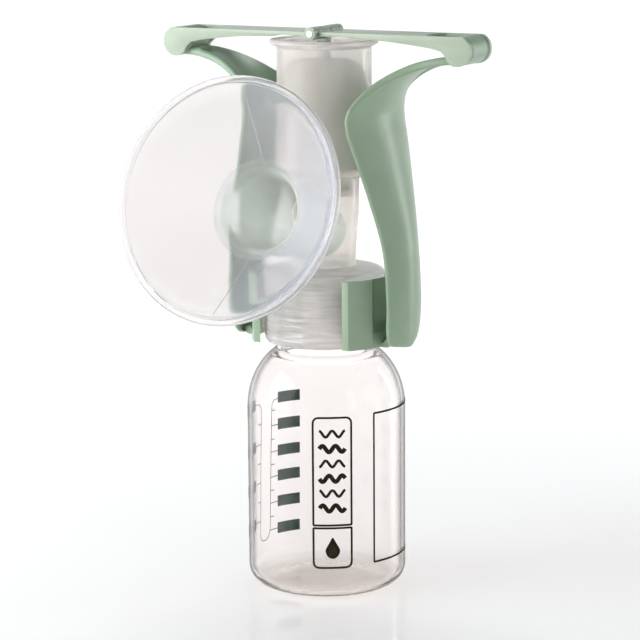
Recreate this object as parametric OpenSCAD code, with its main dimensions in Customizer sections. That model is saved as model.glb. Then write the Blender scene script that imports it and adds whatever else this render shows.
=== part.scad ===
// Hand-squeezed breast pump: a feeding bottle, a clear pump body with a breast flange,
// a piston in an open cylinder, and two handles that lift the piston through a toggle.
// Origin at the centre of the bottle's base, +Z up, handles along X, flange towards -Y.

/* [Bottle] */
// outside diameter of the bottle
bottle_d = 55; // [45:0.5:70]
// thickness of the bottle's wall
bottle_wall = 1.2; // [0.8:0.1:2]
// radius of the rounded corner at the base
base_corner = 7; // [2:0.5:12]
// height at which the straight wall ends
shoulder_z = 63; // [40:1:90]
// height of the bottle's mouth
mouth_z = 104; // [90:1:130]
// outside diameter of the bottle's neck under its thread
mouth_d = 34.6; // [30:0.1:40]

/* [Pump body] */
// outside diameter of the screw skirt
skirt_d = 42.6; // [38:0.1:48]
// height of the skirt's lower edge
skirt_z = 86.6; // [80:0.1:95]
// outside diameter of the neck where it leaves the skirt
neck_low_d = 20.6; // [18:0.1:26]
// outside diameter of the neck under the cylinder
neck_top_d = 23.8; // [20:0.1:28]
// height of the top of the neck
neck_top_z = 144.2; // [130:0.1:160]
// inside diameter of the neck
neck_bore_d = 19.6; // [14:0.1:21]

/* [Breast flange] */
// outside diameter of the rim
rim_d = 81.6; // [60:0.1:100]
// distance of the rim's centre in front of the bottle's axis
rim_y = 66.1; // [50:0.1:80]
// height of the rim's centre
rim_z = 143.7; // [120:0.1:160]
// upward tilt of the flange in degrees
flange_tilt = 16.3; // [0:0.1:30]
// depth of the cone behind the rim
cone_depth = 22.5; // [15:0.5:35]
// inside diameter of the tunnel's mouth
tunnel_d = 24.8; // [20:0.1:30]
// thickness of the flange's wall
flange_wall = 1.6; // [1:0.1:3]

/* [Cylinder and piston] */
// outside diameter of the cylinder
cylinder_d = 32.4; // [28:0.1:40]
// thickness of the cylinder's wall
cylinder_wall = 1.8; // [1:0.1:3]
// height of the cylinder's upper rim
cylinder_top_z = 190.5; // [170:0.5:210]
// outside diameter of the lip round the cylinder's rim
cylinder_lip_d = 37.4; // [33:0.1:44]
// outside diameter of the piston's cup
piston_d = 28.2; // [24:0.1:30]
// height of the piston's flat top at rest
piston_top_z = 183.5; // [170:0.5:189]
// radius round the top of the piston
piston_fillet = 6; // [2:0.5:8]

/* [Linkage] */
// height of the centre hinge at rest
centre_z = 192.8; // [185:0.1:200]
// distance of each outer pivot from the middle
outer_x = 54; // [40:0.5:60]
// height of the outer pivots
outer_z = 188.6; // [180:0.1:195]
// distance of each handle's base hinge from the middle
base_x = 27.4; // [24:0.1:30]
// height of the handles' base hinges
base_z = 88.6; // [86:0.1:95]
// width of an arm
arm_w = 16.8; // [12:0.1:24]
// radius of an arm's round end
ear_r = 5.05; // [4:0.05:7]
// thickness of a handle along its middle
handle_t = 2.8; // [2:0.1:4]

/* [Hidden] */
$fn = 96;

clear_tint = [0.93, 0.92, 0.94, 0.45];
bottle_tint = [0.92, 0.90, 0.90, 0.45];
green_tint = [0.66, 0.77, 0.67];
piston_tint = [0.80, 0.83, 0.80, 0.7];
pin_tint = [0.95, 0.95, 0.94];
silicone_tint = [0.90, 0.90, 0.88];

bottle_r = bottle_d / 2;
mouth_r = mouth_d / 2;
shoulder_in = 20;
shoulder_rise = 24;
base_t = 1.6;
thread_out = 1.6;
thread_h = 1.8;

skirt_r = skirt_d / 2;
skirt_bore_r = 19.4;
skirt_corner_z = 107.5;
dome_in = 3.2;
dome_rise = 4.5;
spigot_r = 7.5;
spigot_bore_r = 5.5;
spigot_z = 98;
neck_foot_z = 112.3;
neck_waist_z = 131;
neck_bore_r = neck_bore_d / 2;
lug_w = 12;
lug_foot_z = 90;
lug_top_z = 107;

rim_r = rim_d / 2;
lip_w = 2.6;
throat_r = 14.4;
tunnel_r = tunnel_d / 2;
tunnel_mouth = cone_depth + 3.5;
tunnel_end = 66;
tunnel_taper = 0.095;
flange_bore_r = 8.8;

cylinder_r = cylinder_d / 2;
cylinder_bore_r = cylinder_r - cylinder_wall;
cylinder_foot_z = neck_top_z;
cylinder_floor_t = 2;
cylinder_lip_t = 1.4;
cylinder_spigot_r = neck_bore_r - 0.1;
cylinder_spigot_h = 7;
groove_in = 1.2;
air_hole_r = 6.5;
ring_section_r = 0.6;

piston_r = piston_d / 2;
piston_wall = 1.6;
piston_foot_z = cylinder_foot_z + cylinder_floor_t + 0.6;
seal_h = 2.4;
seal_out_r = cylinder_bore_r - 0.04;
seal_in_r = piston_r - 1.1;
rod_r = 2.4;
rod_flange_r = 4.2;
rod_eye_r = 2.1;
rod_eye_w = 2.6;

pin_r = 1.2;
pin_play = 0.06;
knuckle_r = 2.2;
arm_top_z = 193.3;
arm_gap = 0.3;
clip_w = 2.6;
clip_in_y = arm_w / 2 - 0.9;
ear_t = 1.5;
ear_in_y = arm_w / 2 - ear_t;
web_end_x = 46.9;
pocket_r = 9.2;
pocket_x = 49;
pocket_z = 191.2;
outer_pin_r = 1.6;
outer_slot_l = 1.9;
outer_slot_t = 0.9;
barrel_r = 4.9;
barrel_w = 2 * (ear_in_y - arm_gap);

base_pin_r = 0.7;
base_knuckle_r = 1.4;
base_knuckle_w = 7.6;
base_ear_in = base_knuckle_w / 2 + 0.3;
base_ear_out = 6.4;
clasp_in_r = 23.9;
clasp_t = 1.7;
clasp_half_w = 17.8;
clasp_foot_z = 87;
clasp_top_z = 110.6;
clasp_floor_t = 1.6;

// underside of an arm from the centre to the start of its round end, as [out, height]
arm_under = [
    [2.6, 191.9], [12.5, 192.1], [15.5, 191.5], [28, 191.1], [38, 190.1], [44.5, 189.3],
    [48.2, 188.4], [49.8, 186.9], [51, 184.9], [52.4, 183.7]
];

// palm side of a handle from its top to its foot, as [out, height, half width, bulge]
handle_stations = [
    [53, 183.8, 6.3, 0], [49.5, 183.7, 6.5, 0], [45, 183.1, 7.4, 0.2], [38, 181.2, 8.8, 0.7],
    [30.4, 177.5, 12, 1.6], [24.4, 173, 15.8, 2.8], [20.9, 167.4, 20, 4.1], [20.8, 162, 20.7, 4.5],
    [22.5, 155.4, 19.5, 4.5], [26.8, 138, 15.6, 4], [30.2, 121, 12.4, 3.5], [31.4, 104, 12, 3],
    [31, 92.5, 10.8, 3], [30.8, 89.6, 8.9, 2.8], [30.7, 88, 6.4, 2.5], [30.6, 87.2, 3, 2.3]
];
handle_steps = 3;
handle_edge_t = 1.9;
handle_across = 8;

bottle();
pump_body();
breast_flange();
pump_cylinder();  // cylinder
cylinder_seal();
valve();
piston_cup();
piston_seal();
piston_rod();
centre_pin();
left_arm();
right_arm();
mirror([1, 0, 0]) handle();  // left_handle
handle();  // right_handle
mirror([1, 0, 0]) outer_pin();  // left_outer_pin
outer_pin();  // right_outer_pin
mirror([1, 0, 0]) clasp();  // left_clasp
clasp();  // right_clasp
mirror([1, 0, 0]) base_pin();  // left_base_pin
base_pin();  // right_base_pin

// ---- shared helpers ----

// points on an ellipse's arc from angle a0 to a1
function arc(cx, cy, rx, ry, a0, a1, n) =
    [for (i = [0:n]) let (a = a0 + (a1 - a0) * i / n) [cx + rx * cos(a), cy + ry * sin(a)]];

// a round bar along Y through [x, z]
module y_bar(x, z, r, y0, y1) {
    translate([x, y1, z])
        rotate([90, 0, 0])
            cylinder(r = r, h = y1 - y0);
}

// a box from its low corner to its high corner
module block(low, high) {
    translate(low)
        cube(high - low);
}

// ---- bottle ----

// angle on the shoulder's ellipse where its radius equals r, for a wall set in by t
function shoulder_end(r, t) = acos((r - (bottle_r - shoulder_in)) / (shoulder_in - t));

module bottle() {
    shoulder_x = bottle_r - shoulder_in;
    out_end = shoulder_end(mouth_r, 0);
    in_end = shoulder_end(mouth_r - bottle_wall, bottle_wall);
    corner_x = bottle_r - base_corner;
    color(bottle_tint) {
        rotate_extrude()
            polygon(concat(
                [[0, 0]],
                arc(corner_x, base_corner, base_corner, base_corner, -90, 0, 8),
                arc(shoulder_x, shoulder_z, shoulder_in, shoulder_rise, 0, out_end, 14),
                [[mouth_r, mouth_z], [mouth_r - bottle_wall, mouth_z]],
                arc(shoulder_x, shoulder_z, shoulder_in - bottle_wall, shoulder_rise - bottle_wall,
                    in_end, 0, 14),
                arc(corner_x, base_corner, base_corner - bottle_wall, base_corner - base_t, 0, -90, 8),
                [[0, base_t]]
            ));
        for (z = [mouth_z - 5, mouth_z - 9.5])
            translate([0, 0, z])
                bottle_thread_ridge();
    }
}

// one raised turn of the bottle's thread
module bottle_thread_ridge() {
    rotate_extrude()
        polygon([
            [mouth_r - 0.3, -thread_h], [mouth_r, -thread_h], [mouth_r + thread_out, -thread_h / 3],
            [mouth_r + thread_out, thread_h / 3], [mouth_r, thread_h], [mouth_r - 0.3, thread_h]
        ]);
}

// ---- clear pump body ----

// outline of the neck's outside, in height order
function neck_outline() = [
    [neck_low_d / 2, neck_foot_z], [neck_top_d / 2 - 0.3, neck_waist_z], [neck_top_d / 2, neck_top_z]
];

module neck_solid() {
    rotate_extrude()
        polygon(concat([[0, neck_foot_z]], neck_outline(), [[0, neck_top_z]]));
}

// places its children on the flange's axis: local Z runs from the rim into the tunnel
module on_flange_axis() {
    translate([0, -rim_y, rim_z])
        rotate([-90 - flange_tilt, 0, 0])
            children();
}

module pump_body() {
    dome_x = skirt_r - dome_in;
    ceiling_in = dome_in - 1;
    ceiling_x = skirt_bore_r - ceiling_in;
    color(clear_tint)
        difference() {
            union() {
                rotate_extrude()
                    polygon(concat(
                        [[skirt_bore_r, skirt_z], [skirt_r - 0.9, skirt_z], [skirt_r, skirt_z + 2.2]],
                        arc(dome_x, skirt_corner_z, dome_in, dome_rise, 0, 90, 8),
                        neck_outline(),
                        [[neck_bore_r, neck_top_z], [neck_bore_r, neck_waist_z]],
                        [[neck_bore_r - 1.1, neck_foot_z - 1], [spigot_bore_r, neck_foot_z - 2]],
                        [[spigot_bore_r, spigot_z], [spigot_r, spigot_z]],
                        [[spigot_r, skirt_corner_z + dome_rise - 1.8]],
                        arc(ceiling_x, skirt_corner_z, ceiling_in, dome_rise - 1.8, 90, 0, 8)
                    ));
                clasp_lugs();
            }
            on_flange_axis()
                translate([0, 0, tunnel_mouth])
                    cylinder(r = flange_bore_r, h = rim_y / cos(flange_tilt) - tunnel_mouth);
        }
}

// one lug on each side of the skirt that carries a clasp
module clasp_lugs() {
    intersection() {
        block([-40, -lug_w / 2, lug_foot_z], [40, lug_w / 2, lug_top_z]);
        difference() {
            cylinder(r = clasp_in_r, h = lug_top_z + 1);
            translate([0, 0, -1])
                cylinder(r = skirt_r - 0.5, h = lug_top_z + 3);
        }
    }
}

// the breast flange: rim, cone and tunnel, as far as the neck's wall
module breast_flange() {
    cone_top = rim_r - lip_w;
    back_in = 1.1;
    back_out = tunnel_end - tunnel_mouth;
    color(clear_tint)
        difference() {
            on_flange_axis()
                rotate_extrude()
                    polygon([
                        [cone_top, 0.5], [rim_r - 0.6, 0], [rim_r, 0.5], [rim_r, 1.4],
                        [rim_r - 0.6, 2], [cone_top + back_in, 1.9],
                        [throat_r + back_in + 0.6, cone_depth + 0.8],
                        [tunnel_r + flange_wall + 0.5, cone_depth + 2.4],
                        [tunnel_r + flange_wall, tunnel_mouth + 1],
                        [tunnel_r + flange_wall - tunnel_taper * back_out, tunnel_end],
                        [tunnel_r - tunnel_taper * back_out, tunnel_end],
                        [tunnel_r, tunnel_mouth], [tunnel_r + 0.5, tunnel_mouth - 1.6],
                        [throat_r, cone_depth]
                    ]);
            neck_solid();
        }
}

// duckbill valve that hangs from the body's spigot into the bottle
module valve() {
    sleeve_r = spigot_r + 1.2;
    sleeve_top = 104;
    bill_z = 96.5;
    tip_z = 84.5;
    color(silicone_tint) {
        translate([0, 0, bill_z])
            difference() {
                cylinder(r = sleeve_r, h = sleeve_top - bill_z);
                translate([0, 0, -1])
                    cylinder(r = spigot_r, h = sleeve_top - bill_z + 2);
            }
        difference() {
            valve_bill(sleeve_r, bill_z, tip_z, 1.8);
            valve_bill(sleeve_r - 1.2, bill_z + 0.1, tip_z - 0.1, 0.4);
        }
    }
}

// flattened taper from a round top to a slit
module valve_bill(r, top, tip, slit) {
    hull() {
        translate([0, 0, top - 0.4])
            cylinder(r = r, h = 0.4, $fn = 32);
        translate([-r, -slit / 2, tip])
            cube([2 * r, slit, 0.4]);
    }
}

// ---- cylinder ----

module pump_cylinder() {
    foot = cylinder_foot_z;
    floor_z = foot + cylinder_floor_t;
    spigot_foot = foot - cylinder_spigot_h;
    groove_z = spigot_foot + 2;
    color(clear_tint)
        rotate_extrude()
            polygon([
                [air_hole_r, spigot_foot], [cylinder_spigot_r, spigot_foot],
                [cylinder_spigot_r, groove_z], [cylinder_spigot_r - groove_in, groove_z],
                [cylinder_spigot_r - groove_in, groove_z + 1.4], [cylinder_spigot_r, groove_z + 1.4],
                [cylinder_spigot_r, foot], [cylinder_r - 1.2, foot], [cylinder_r, foot + 1.2],
                [cylinder_r, cylinder_top_z - cylinder_lip_t - 1.2],
                [cylinder_lip_d / 2 - 0.4, cylinder_top_z - cylinder_lip_t],
                [cylinder_lip_d / 2, cylinder_top_z - cylinder_lip_t / 2],
                [cylinder_lip_d / 2 - 0.4, cylinder_top_z],
                [cylinder_bore_r, cylinder_top_z], [cylinder_bore_r, floor_z],
                [air_hole_r, floor_z]
            ]);
}

// round sealing ring in the groove of the cylinder's spigot
module cylinder_seal() {
    color(silicone_tint)
        translate([0, 0, cylinder_foot_z - cylinder_spigot_h + 2.7])
            rotate_extrude()
                translate([neck_bore_r - ring_section_r - 0.02, 0])
                    circle(r = ring_section_r, $fn = 24);
}

// ---- piston ----

module piston_cup() {
    in_r = piston_r - piston_wall;
    in_fillet = piston_fillet - piston_wall;
    fillet_z = piston_top_z - piston_fillet;
    fillet_x = piston_r - piston_fillet;
    step_z = piston_foot_z + seal_h + 0.2;
    color(piston_tint)
        rotate_extrude()
            polygon(concat(
                [[in_r - 0.8, piston_foot_z], [seal_in_r, piston_foot_z], [seal_in_r, step_z]],
                [[piston_r, step_z]],
                arc(fillet_x, fillet_z, piston_fillet, piston_fillet, 0, 90, 8),
                [[rod_r, piston_top_z], [rod_r, piston_top_z - piston_wall]],
                arc(fillet_x, fillet_z, in_fillet, in_fillet, 90, 0, 8),
                [[in_r, step_z], [in_r - 0.8, step_z - 0.8]]
            ));
}

// lip seal round the foot of the piston
module piston_seal() {
    color(silicone_tint)
        translate([0, 0, piston_foot_z + 0.1])
            rotate_extrude()
                polygon([
                    [seal_in_r, 0], [seal_out_r, 0], [seal_out_r, 0.7], [seal_out_r - 0.4, seal_h / 2],
                    [seal_out_r, seal_h - 0.7], [seal_out_r, seal_h], [seal_in_r, seal_h]
                ]);
}

// rod with a foot inside the cup and an eye round the centre pin
module piston_rod() {
    under = piston_top_z - piston_wall;
    color(piston_tint)
        difference() {
            union() {
                translate([0, 0, under - 1.6])
                    cylinder(r = rod_flange_r, h = 1.6);
                translate([0, 0, under])
                    cylinder(r = rod_r, h = 189.6 - under);
                intersection() {
                    cylinder(r = rod_r, h = centre_z);
                    block([-rod_eye_r, -rod_eye_w / 2, 189], [rod_eye_r, rod_eye_w / 2, centre_z]);
                }
                y_bar(0, centre_z, rod_eye_r, -rod_eye_w / 2, rod_eye_w / 2);
            }
            y_bar(0, centre_z, pin_r, -rod_eye_w, rod_eye_w);
        }
}

module centre_pin() {
    color(pin_tint)
        y_bar(0, centre_z, pin_r, -clip_in_y - clip_w - 0.2, clip_in_y + clip_w + 0.2);
}

// ---- arms ----

// side view of an arm without its hinge at the centre
module arm_profile() {
    polygon(concat(
        [[2.6, arm_top_z]],
        arm_under,
        arc(outer_x, outer_z, ear_r, ear_r, -108, 68, 16)
    ));
}

module arm_plate() {
    translate([0, arm_w / 2, 0])
        rotate([90, 0, 0])
            linear_extrude(height = arm_w)
                arm_profile();
}

// the arm on the +X side, with the clearance for the handle's barrel and pin
module arm_body() {
    difference() {
        arm_plate();
        block([web_end_x, -ear_in_y, outer_z - 10], [outer_x + 10, ear_in_y, outer_z + 10]);
        intersection() {
            translate([pocket_x, 0, pocket_z])
                cylinder(r = pocket_r, h = 5);
            block([30, -ear_in_y, pocket_z], [outer_x, ear_in_y, pocket_z + 5]);
        }
        outer_slot();
    }
}

// blind slots in the inner faces of the ears that take the ends of the outer pin
module outer_slot() {
    slot_r = outer_pin_r + 0.2;
    slot_y = ear_in_y + outer_slot_t;
    y_bar(outer_x, outer_z, slot_r, -slot_y, slot_y);
    y_bar(outer_x - outer_slot_l, outer_z + 0.15, slot_r, -slot_y, slot_y);
    block([outer_x - outer_slot_l, -slot_y, outer_z - slot_r],
          [outer_x, slot_y, outer_z + slot_r + 0.15]);
}

// knuckle of the centre hinge, bored for the pin
module centre_knuckle(y0, y1, reach) {
    difference() {
        union() {
            y_bar(0, centre_z, knuckle_r, y0, y1);
            block([0, y0, 191.9], [reach, y1, arm_top_z]);
        }
        y_bar(0, centre_z, pin_r + pin_play, y0 - 1, y1 + 1);
    }
}

// right arm: one wide knuckle, slotted underneath for the rod's eye
module right_arm() {
    half = clip_in_y - arm_gap;
    slot = rod_eye_w / 2 + 0.25;
    color(green_tint)
        difference() {
            union() {
                arm_body();
                centre_knuckle(-half, half, 3);
            }
            block([-4, -slot, centre_z - 5], [1.2, slot, centre_z + rod_eye_r + 0.25]);
            y_bar(0, centre_z, rod_eye_r + 0.3, -slot, slot);
            block([-1, -slot, centre_z - 6], [rod_r + 0.6, slot, centre_z]);
        }
}

// left arm: two clips outside the right arm's knuckle
module left_arm() {
    color(green_tint)
        mirror([1, 0, 0]) {
            difference() {
                arm_body();
                block([0, -clip_in_y, 185], [knuckle_r + 0.9, clip_in_y, 200]);
            }
            centre_knuckle(clip_in_y, clip_in_y + clip_w, 3.5);
            centre_knuckle(-clip_in_y - clip_w, -clip_in_y, 3.5);
        }
}

module outer_pin() {
    color(pin_tint)
        y_bar(outer_x, outer_z, outer_pin_r, -ear_in_y - outer_slot_t + 0.2, ear_in_y + outer_slot_t - 0.2);
}

// ---- handles ----

// smooth curve through the stations, from p1 (t = 0) to p2 (t = 1)
function between(p0, p1, p2, p3, t) =
    0.5 * (2 * p1 + (p2 - p0) * t + (2 * p0 - 5 * p1 + 4 * p2 - p3) * t * t
           + (3 * p1 - p0 - 3 * p2 + p3) * t * t * t);

// the station at step i of the smoothed handle
function handle_at(i) =
    let (last = len(handle_stations) - 1)
    let (k = min(floor(i / handle_steps), last - 1))
    between(handle_stations[max(k - 1, 0)], handle_stations[k], handle_stations[k + 1],
            handle_stations[min(k + 2, last)], i / handle_steps - k);

// unit vector in the XZ plane that points out of the handle's palm side
function handle_normal(i) =
    let (last = (len(handle_stations) - 1) * handle_steps)
    let (a = handle_at(max(i - 1, 0)), b = handle_at(min(i + 1, last)))
    let (d = [b[0] - a[0], b[1] - a[1]])
    [-d[1], d[0]] / norm(d);

// one side of the section at step i: depth 0 is the palm side, 1 is the inner side
function handle_side(i, depth) =
    let (s = handle_at(i), n = handle_normal(i))
    [for (j = [0:handle_across])
        let (u = 2 * j / handle_across - 1)
        let (t = handle_t + (handle_edge_t - handle_t) * u * u)
        let (h = s[3] * (1 - u * u) - depth * t)
        [s[0] + n[0] * h, u * (s[2] - handle_edge_t / 2), s[1] + n[1] * h]];

// the rounded edge of the section at step i, at side -1 or 1
function handle_edge(i, side) =
    let (s = handle_at(i), n = handle_normal(i), h = -handle_edge_t / 2)
    [[s[0] + n[0] * h, side * s[2], s[1] + n[1] * h]];

function reversed(list) = [for (i = [len(list) - 1:-1:0]) list[i]];

function handle_ring(i) =
    concat(handle_side(i, 0), handle_edge(i, 1), reversed(handle_side(i, 1)), handle_edge(i, -1));

module handle_blade() {
    count = 2 * (handle_across + 1) + 2;
    last = (len(handle_stations) - 1) * handle_steps;
    points = [for (i = [0:last]) each handle_ring(i)];
    sides = [for (i = [0:last - 1], j = [0:count - 1])
        [i * count + j, i * count + (j + 1) % count,
         (i + 1) * count + (j + 1) % count, (i + 1) * count + j]];
    top = [[for (j = [count - 1:-1:0]) j]];
    foot = [[for (j = [0:count - 1]) last * count + j]];
    polyhedron(points = points, faces = concat(sides, top, foot), convexity = 6);
}

module handle() {
    color(green_tint)
        difference() {
            union() {
                handle_blade();
                y_bar(outer_x, outer_z, barrel_r, -barrel_w / 2, barrel_w / 2);
                y_bar(base_x, base_z, base_knuckle_r, -base_knuckle_w / 2, base_knuckle_w / 2);
                block([base_x, -base_knuckle_w / 2, base_z - 1],
                      [31, base_knuckle_w / 2, base_z + 1]);
            }
            y_bar(outer_x, outer_z, outer_pin_r, -10, 10);
            y_bar(base_x, base_z, base_pin_r + pin_play, -10, 10);
        }
}

// ---- clasps ----

// clasp round one side of the skirt, with the ears of the handle's base hinge
module clasp() {
    color(green_tint)
        difference() {
            union() {
                intersection() {
                    translate([0, 0, clasp_foot_z])
                        clasp_ring(clasp_top_z - clasp_foot_z);
                    block([0, -clasp_half_w, clasp_foot_z], [40, clasp_half_w, clasp_top_z]);
                }
                block([clasp_in_r + 0.2, -base_ear_out, clasp_foot_z],
                      [base_x, base_ear_out, clasp_foot_z + clasp_floor_t]);
                y_bar(base_x, base_z, base_knuckle_r, -base_ear_out, base_ear_out);
            }
            block([clasp_in_r + clasp_t + 0.1, -base_ear_in, clasp_foot_z - 1],
                  [base_x + 5, base_ear_in, base_z + 5]);
            y_bar(base_x, base_z, base_pin_r, -10, 10);
        }
}

module clasp_ring(h) {
    difference() {
        cylinder(r = clasp_in_r + clasp_t, h = h);
        translate([0, 0, -1])
            cylinder(r = clasp_in_r, h = h + 2);
    }
}

module base_pin() {
    color(pin_tint)
        y_bar(base_x, base_z, base_pin_r, -base_ear_out, base_ear_out);
}
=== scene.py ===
"""Looks of the hand-squeezed breast pump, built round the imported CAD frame.

Lengths are millimetres and angles are degrees, unless a comment says otherwise. X runs from the left handle
to the right one, Z is up, and the flange opens towards -Y.
"""

from math import cos, pi, radians, sin

import bmesh
import bpy
from mathutils import Matrix, Vector


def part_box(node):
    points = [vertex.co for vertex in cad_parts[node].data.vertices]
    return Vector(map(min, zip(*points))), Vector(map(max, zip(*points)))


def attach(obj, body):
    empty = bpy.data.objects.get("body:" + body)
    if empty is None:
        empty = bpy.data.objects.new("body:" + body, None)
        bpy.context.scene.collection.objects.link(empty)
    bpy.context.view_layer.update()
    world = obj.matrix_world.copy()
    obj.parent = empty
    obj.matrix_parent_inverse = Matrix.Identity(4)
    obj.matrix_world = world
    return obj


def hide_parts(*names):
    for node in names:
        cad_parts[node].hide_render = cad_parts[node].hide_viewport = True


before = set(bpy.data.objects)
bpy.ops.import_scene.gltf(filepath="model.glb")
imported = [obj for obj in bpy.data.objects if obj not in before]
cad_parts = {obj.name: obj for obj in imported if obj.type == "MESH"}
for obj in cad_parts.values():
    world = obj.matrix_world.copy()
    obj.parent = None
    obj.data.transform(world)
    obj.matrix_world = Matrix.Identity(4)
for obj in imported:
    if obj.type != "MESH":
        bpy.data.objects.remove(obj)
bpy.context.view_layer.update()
MM = 0.001


def node_box(node):
    """A CAD node's lowest and highest corner in millimetres."""
    low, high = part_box(node)
    return low / MM, high / MM


# ---- mesh helpers ----

SEGMENTS = 160
FINE_SEGMENTS = 192
CUTTER_SEGMENTS = 96
ON_AXIS = 1e-4
WELD = 1e-7
NODE_WELD = 2e-6
FLAT_ANGLE = 0.6
SHARP = 35
LOFT_SHARP = 40
NODE_SHARP = 38
BEVEL_ANGLE = 32
BEVEL_STEPS = 3


def new_object(name, points, faces, sharp=SHARP):
    """A mesh object from points in millimetres, with edges over the sharp angle kept crisp."""
    mesh = bpy.data.meshes.new(name)
    mesh.from_pydata([Vector(p) * MM for p in points], [], faces)
    obj = bpy.data.objects.new(name, mesh)
    bpy.context.scene.collection.objects.link(obj)
    tidy_normals(mesh)
    smooth(obj, sharp)
    return obj


def tidy_normals(mesh):
    """Welds double points and turns every face outwards."""
    bm = bmesh.new()
    bm.from_mesh(mesh)
    bmesh.ops.remove_doubles(bm, verts=bm.verts, dist=WELD)
    bmesh.ops.recalc_face_normals(bm, faces=bm.faces)
    bm.to_mesh(mesh)
    bm.free()


def smooth(obj, sharp):
    """Smooth shading, except over edges sharper than that angle."""
    obj.data.shade_smooth()
    obj.data.set_sharp_from_angle(angle=radians(sharp))


def settle(obj):
    """Applies obj's modifiers."""
    bpy.context.view_layer.update()
    evaluated = obj.evaluated_get(bpy.context.evaluated_depsgraph_get())
    done = bpy.data.meshes.new_from_object(evaluated)
    obj.modifiers.clear()
    obj.data = done


def combine(base, other, operation):
    """Changes base by a boolean with other, which is used up."""
    cut = base.modifiers.new("cut", "BOOLEAN")
    cut.operation = operation
    cut.solver = "EXACT"
    cut.object = other
    cut.material_mode = "TRANSFER"
    settle(base)
    bpy.data.objects.remove(other)


def bevel(obj, width):
    """Rounds obj's sharp edges."""
    edge = obj.modifiers.new("edge", "BEVEL")
    edge.width = width * MM
    edge.segments = BEVEL_STEPS
    edge.limit_method = "ANGLE"
    edge.angle_limit = radians(BEVEL_ANGLE)
    edge.use_clamp_overlap = True
    edge.harden_normals = False
    settle(obj)


def arc(cx, cy, rx, ry, a0, a1, steps):
    """Points on an ellipse's arc from angle a0 to a1."""
    turns = [radians(a0 + (a1 - a0) * i / steps) for i in range(steps + 1)]
    return [(cx + rx * cos(t), cy + ry * sin(t)) for t in turns]


def rounded(corners, steps=5):
    """A closed outline from corners (x, y, radius), each rounded in that many steps."""
    out = []
    for i, (x, y, radius) in enumerate(corners):
        here = Vector((x, y))
        before = Vector(corners[i - 1][:2]) - here
        after = Vector(corners[(i + 1) % len(corners)][:2]) - here
        half = before.angle(after) / 2
        wanted = radius / max(0.01, abs(sin(half) / cos(half)))
        reach = min(wanted, before.length * 0.48, after.length * 0.48)
        start = here + before.normalized() * reach
        end = here + after.normalized() * reach
        for k in range(steps + 1):
            t = k / steps
            out.append(tuple(start * (1 - t) ** 2 + here * 2 * t * (1 - t) + end * t * t))
    return out


def lathe(name, outline, warp=None, segments=SEGMENTS):
    """A solid of revolution about Z from a closed outline of (radius, height).

    warp(radius, turn, height) gives a point its new radius; turn is in radians.
    """
    points, rings, faces = [], [], []
    for radius, height in outline:
        if radius < ON_AXIS:
            rings.append([len(points)] * segments)
            points.append((0, 0, height))
            continue
        rings.append(list(range(len(points), len(points) + segments)))
        for k in range(segments):
            turn = 2 * pi * k / segments
            r = warp(radius, turn, height) if warp else radius
            points.append((r * cos(turn), r * sin(turn), height))
    for i, ring in enumerate(rings):
        after = rings[(i + 1) % len(rings)]
        for k in range(segments):
            following = (k + 1) % segments
            corners = [ring[k], ring[following], after[following], after[k]]
            corners = [c for j, c in enumerate(corners) if c not in corners[:j]]
            if len(corners) > 2:
                faces.append(corners)
    return new_object(name, points, faces)


def extrude(name, outline, low, high, axis="y"):
    """A prism from low to high: outline is (x, z) along Y, or (x, y) along Z."""
    count = len(outline)
    if axis == "y":
        points = [(x, y, z) for y in (low, high) for x, z in outline]
    else:
        points = [(x, y, z) for z in (low, high) for x, y in outline]
    faces = [list(range(count))[::-1], list(range(count, 2 * count))]
    for k in range(count):
        following = (k + 1) % count
        faces.append([k, following, count + following, count + k])
    return new_object(name, points, faces)


def loft(name, rings):
    """A closed skin through rings of equal length, capped at both ends."""
    count = len(rings[0])
    points = [p for ring in rings for p in ring]
    faces = [list(range(count))[::-1], list(range(len(points) - count, len(points)))]
    for first in range(0, len(points) - count, count):
        for k in range(count):
            following = (k + 1) % count
            faces.append([first + k, first + following, first + count + following, first + count + k])
    return new_object(name, points, faces, LOFT_SHARP)


def y_bar(x, z, radius, reach, steps=64):
    """A round bar along Y, reach to each side of the middle."""
    return extrude("bar", arc(x, z, radius, radius, 0, 360 - 360 / steps, steps - 1), -reach, reach)


def mirrored(obj, name):
    """A copy of obj on the other side of the plane X = 0."""
    twin = bpy.data.objects.new(name, obj.data.copy())
    bpy.context.scene.collection.objects.link(twin)
    twin.data.transform(Matrix.Scale(-1, 4, (1, 0, 0)))
    twin.data.flip_normals()
    return twin


def from_node(node, name, width):
    """The CAD node's shape as a new piece, with its edges rounded by width."""
    obj = bpy.data.objects.new(name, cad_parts[node].data.copy())
    bpy.context.scene.collection.objects.link(obj)
    obj.data.materials.clear()
    bm = bmesh.new()
    bm.from_mesh(obj.data)
    bmesh.ops.remove_doubles(bm, verts=bm.verts, dist=NODE_WELD)
    bmesh.ops.dissolve_limit(bm, angle_limit=radians(FLAT_ANGLE), verts=bm.verts, edges=bm.edges)
    bm.to_mesh(obj.data)
    bm.free()
    bevel(obj, width)
    smooth(obj, NODE_SHARP)
    return obj


# ---- material helpers ----

# Layer Weight's Facing is 0 face-on and 1 edge-on: the tint darkens between the first two values, as painted
# shade that outlines the silhouette, and the haze is at its edge value from the third.
EDGE_SHADE_FROM, EDGE_SHADE_TO = 0.62, 0.84
HAZE_TO = 0.90
HAZE_SHADOW = 0.3


def new_material(name):
    """A node material, with its tree, its Principled shader and its output."""
    material = bpy.data.materials.new(name)
    material.use_nodes = True
    tree = material.node_tree
    return material, tree, tree.nodes["Principled BSDF"], tree.nodes["Material Output"]


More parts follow.
